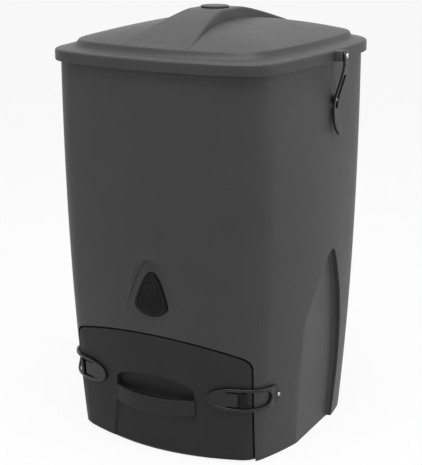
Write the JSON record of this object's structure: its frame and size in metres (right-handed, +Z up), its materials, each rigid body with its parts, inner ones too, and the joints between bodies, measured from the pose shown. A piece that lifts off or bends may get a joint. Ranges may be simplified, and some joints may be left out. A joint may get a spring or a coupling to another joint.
{
  "type": "compost bin with lid",
  "caption": "Tall insulated garden compost bin with a hinged lid, lift-out front hatch, rubber latches and vents.",
  "frame": {"origin": "on the ground under the middle of the tub, in the underside of the base tray", "axes": "+X to the right side with the lid strap, +Y to the back, +Z up; the hatch faces -Y"},
  "size_m": [0.7179, 0.7086, 1.1013],
  "materials": {
    "bin_plastic": "fine grained",
    "hatch_plastic": "fine grained",
    "liner_plastic": "satin",
    "black_plastic": "satin",
    "rubber": "matte",
    "foam": "foam",
    "steel": "satin"
  },
  "bodies": {
    "tub": {"tub_outer_shell": "bin_plastic", "tub_insulation": "foam", "tub_inner_liner": "liner_plastic", "base_tray": "liner_plastic", "compost_grate": "liner_plastic", "hatch_frame": "liner_plastic", "intake_vent_cover": "black_plastic", "intake_vent_sleeve": "black_plastic", "drain_outlet": "black_plastic", "hatch_latch_eye_right": "rubber", "hatch_latch_screw_right": "steel", "hatch_latch_eye_left": "rubber", "hatch_latch_screw_left": "steel", "lid_strap_keeper": "black_plastic", "lid_strap_keeper_screw": "steel", "hinge_tub_leaf": "steel", "hinge_pin": "steel", "hinge_tub_screw_1": "steel", "hinge_tub_screw_2": "steel"},
    "hatch": {"hatch_outer_shell": "hatch_plastic", "hatch_insulation": "foam", "hatch_inner_liner": "liner_plastic", "hatch_gasket": "rubber", "hatch_handle": "hatch_plastic", "hatch_keeper_right": "black_plastic", "hatch_keeper_left": "black_plastic"},
    "latch_right": {"hatch_latch_loop_right": "rubber"},
    "latch_left": {"hatch_latch_loop_left": "rubber"},
    "lid": {"lid_outer_shell": "bin_plastic", "lid_insulation": "foam", "lid_inner_liner": "liner_plastic", "lid_gasket": "rubber", "exhaust_vent_sleeve": "black_plastic", "lid_strap_eye": "rubber", "lid_strap_eye_screw": "steel", "hinge_lid_leaf": "steel", "hinge_lid_screw_1": "steel", "hinge_lid_screw_2": "steel"},
    "strap": {"lid_strap": "rubber"},
    "exhaust_cap": {"exhaust_vent_cap": "bin_plastic"},
    "drain_cap": {"drain_cap": "black_plastic"}
  },
  "joints": [
    {"name": "lid_hinge", "type": "hinge", "parent": "tub", "child": "lid", "pos_m": [-0.35026, 0, 0.974], "axis": [0, -1, 0], "range_deg": [0, 95]},
    {"name": "strap_swing", "type": "hinge", "parent": "lid", "child": "strap", "pos_m": [0.3574, 0.016, 0.972], "axis": [0, -1, 0], "range_deg": [0, 157]},
    {"name": "hatch_lift_out", "type": "slide", "parent": "tub", "child": "hatch", "axis": [0, -1, 0], "range_m": [0, 0.04]},
    {"name": "latch_right_swing", "type": "hinge", "parent": "tub", "child": "latch_right", "pos_m": [0.28752, -0.24068, 0.177], "axis": [0.0648, -0.0166, 0.9978], "range_deg": [0, 126.5]},
    {"name": "latch_left_swing", "type": "hinge", "parent": "tub", "child": "latch_left", "pos_m": [-0.28752, -0.24068, 0.177], "axis": [0.0648, 0.0166, -0.9978], "range_deg": [0, 126.5]},
    {"name": "exhaust_cap_turn", "type": "hinge", "parent": "lid", "child": "exhaust_cap", "pos_m": [0, 0, 1.096], "axis": [0, 0, 1], "range_deg": [0, 90]},
    {"name": "drain_cap_turn", "type": "hinge", "parent": "tub", "child": "drain_cap", "pos_m": [0, 0.345, 0.024], "axis": [0, 1, 0], "range_deg": [0, 90]}
  ],
  "couplings": [
    {"joint": "strap_swing", "follows": "lid_hinge", "ratio": 1.65},
    {"joint": "latch_right_swing", "follows": "hatch_lift_out", "rad_per_m": 55},
    {"joint": "latch_left_swing", "follows": "hatch_lift_out", "rad_per_m": 55}
  ]
}
